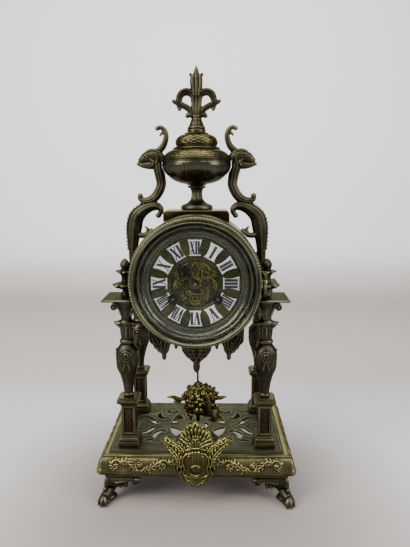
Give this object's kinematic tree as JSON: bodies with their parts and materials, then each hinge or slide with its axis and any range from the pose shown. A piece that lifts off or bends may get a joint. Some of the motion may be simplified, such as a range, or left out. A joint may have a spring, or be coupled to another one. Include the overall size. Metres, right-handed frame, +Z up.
{
  "type": "mantel clock",
  "caption": "Cast brass portico mantel clock: pillars on a pierced footed base carry a drum with a hinged glass, cartouche dial and pendulum below an urn between scroll brackets.",
  "frame": {"origin": "on the floor, below the middle of the footprint", "axes": "+Z up, the dial faces -Y, +X to the viewer's right"},
  "size_m": [0.2104, 0.1536, 0.4574],
  "materials": {
    "dark_brass": "aged, dark in the recesses",
    "olive_brass": "aged, satin",
    "gilt_brass": "worn gilt lacquer over brass",
    "plate_brass": "dull, grey green",
    "dial_brass": "antique satin with dark recesses",
    "movement_brass": "satin",
    "bell_metal": "turned, tarnished",
    "steel": "polished, tarnished",
    "blued_steel": "dark blued",
    "enamel": "glossy off-white",
    "clear_glass": "clear, slightly domed"
  },
  "bodies": {
    "clock": {"foot_front_left": "dark_brass", "pedestal_front_left": "dark_brass", "column_front_left": "dark_brass", "capital_plate_front_left": "plate_brass", "plate_finial_front_left": "dark_brass", "foot_front_right": "dark_brass", "pedestal_front_right": "dark_brass", "column_front_right": "dark_brass", "capital_plate_front_right": "plate_brass", "plate_finial_front_right": "dark_brass", "foot_back_left": "dark_brass", "pedestal_back_left": "dark_brass", "column_back_left": "dark_brass", "capital_plate_back_left": "plate_brass", "plate_finial_back_left": "dark_brass", "foot_back_right": "dark_brass", "pedestal_back_right": "dark_brass", "column_back_right": "dark_brass", "capital_plate_back_right": "plate_brass", "plate_finial_back_right": "dark_brass", "base_frame": "gilt_brass", "base_plate": "olive_brass", "front_cartouche": "gilt_brass", "drum_case": "olive_brass", "drum_apron": "dark_brass", "dial_plate": "dial_brass", "numeral_plate_12": "enamel", "numeral_plate_01": "enamel", "numeral_plate_02": "enamel", "numeral_plate_03": "enamel", "numeral_plate_04": "enamel", "numeral_plate_05": "enamel", "numeral_plate_06": "enamel", "numeral_plate_07": "enamel", "numeral_plate_08": "enamel", "numeral_plate_09": "enamel", "numeral_plate_10": "enamel", "numeral_plate_11": "enamel", "movement_frame": "movement_brass", "bell": "bell_metal", "urn_plinth": "olive_brass", "urn_foot": "dark_brass", "urn_bowl": "dark_brass", "urn_lid": "dark_brass", "urn_finial": "dark_brass", "scroll_bracket_right": "dark_brass", "scroll_bracket_left": "dark_brass"},
    "bezel": {"bezel_ring": "olive_brass", "bezel_glass": "clear_glass"},
    "minute_hand": {"minute_hand": "blued_steel"},
    "hour_hand": {"hour_hand": "blued_steel"},
    "strike_winding_arbor": {"winding_arbor_left": "steel"},
    "going_winding_arbor": {"winding_arbor_right": "steel"},
    "strike_barrel": {"strike_barrel": "movement_brass"},
    "going_barrel": {"going_barrel": "movement_brass"},
    "pendulum": {"pendulum_rod": "steel", "pendulum_bob": "gilt_brass"},
    "anchor": {"anchor_crutch": "steel"},
    "hammer": {"bell_hammer": "steel"},
    "rear_door": {"rear_door": "movement_brass"}
  },
  "joints": [
    {"name": "bezel_hinge", "type": "hinge", "parent": "clock", "child": "bezel", "pos_m": [0.0688, -0.06382, 0.2386], "axis": [0, 0, 1], "range_deg": [0, 100]},
    {"name": "minute_turn", "type": "hinge", "parent": "clock", "child": "minute_hand", "pos_m": [0, -0.05832, 0.2386], "axis": [0, 1, 0], "continuous": true},
    {"name": "hour_turn", "type": "hinge", "parent": "clock", "child": "hour_hand", "pos_m": [0, -0.05832, 0.2386], "axis": [0, 1, 0], "continuous": true},
    {"name": "strike_winding", "type": "hinge", "parent": "clock", "child": "strike_winding_arbor", "pos_m": [-0.0224, -0.03832, 0.2222], "axis": [0, 1, 0], "continuous": true},
    {"name": "going_winding", "type": "hinge", "parent": "clock", "child": "going_winding_arbor", "pos_m": [0.0224, -0.03832, 0.2222], "axis": [0, 1, 0], "continuous": true},
    {"name": "strike_barrel_turn", "type": "hinge", "parent": "clock", "child": "strike_barrel", "pos_m": [-0.0224, -0.03432, 0.2222], "axis": [0, 1, 0], "continuous": true},
    {"name": "going_barrel_turn", "type": "hinge", "parent": "clock", "child": "going_barrel", "pos_m": [0.0224, -0.03432, 0.2222], "axis": [0, 1, 0], "continuous": true},
    {"name": "pendulum_swing", "type": "hinge", "parent": "clock", "child": "pendulum", "pos_m": [0, 0.00168, 0.26], "axis": [0, 1, 0], "range_deg": [-3.5, 3.5]},
    {"name": "anchor_rock", "type": "hinge", "parent": "clock", "child": "anchor", "pos_m": [0, -0.02832, 0.26], "axis": [0, 1, 0], "range_deg": [-3.5, 3.5]},
    {"name": "hammer_lift", "type": "hinge", "parent": "clock", "child": "hammer", "pos_m": [-0.033, -0.02832, 0.252], "axis": [0, 1, 0], "range_deg": [0, 15]},
    {"name": "rear_door_hinge", "type": "hinge", "parent": "clock", "child": "rear_door", "pos_m": [0.0464, 0.03398, 0.2386], "axis": [0, 0, -1], "range_deg": [0, 90]}
  ],
  "couplings": [
    {"joint": "hour_turn", "follows": "minute_turn", "ratio": 0.083333},
    {"joint": "going_barrel_turn", "follows": "minute_turn", "ratio": 0.014652},
    {"joint": "anchor_rock", "follows": "pendulum_swing", "ratio": 1}
  ]
}
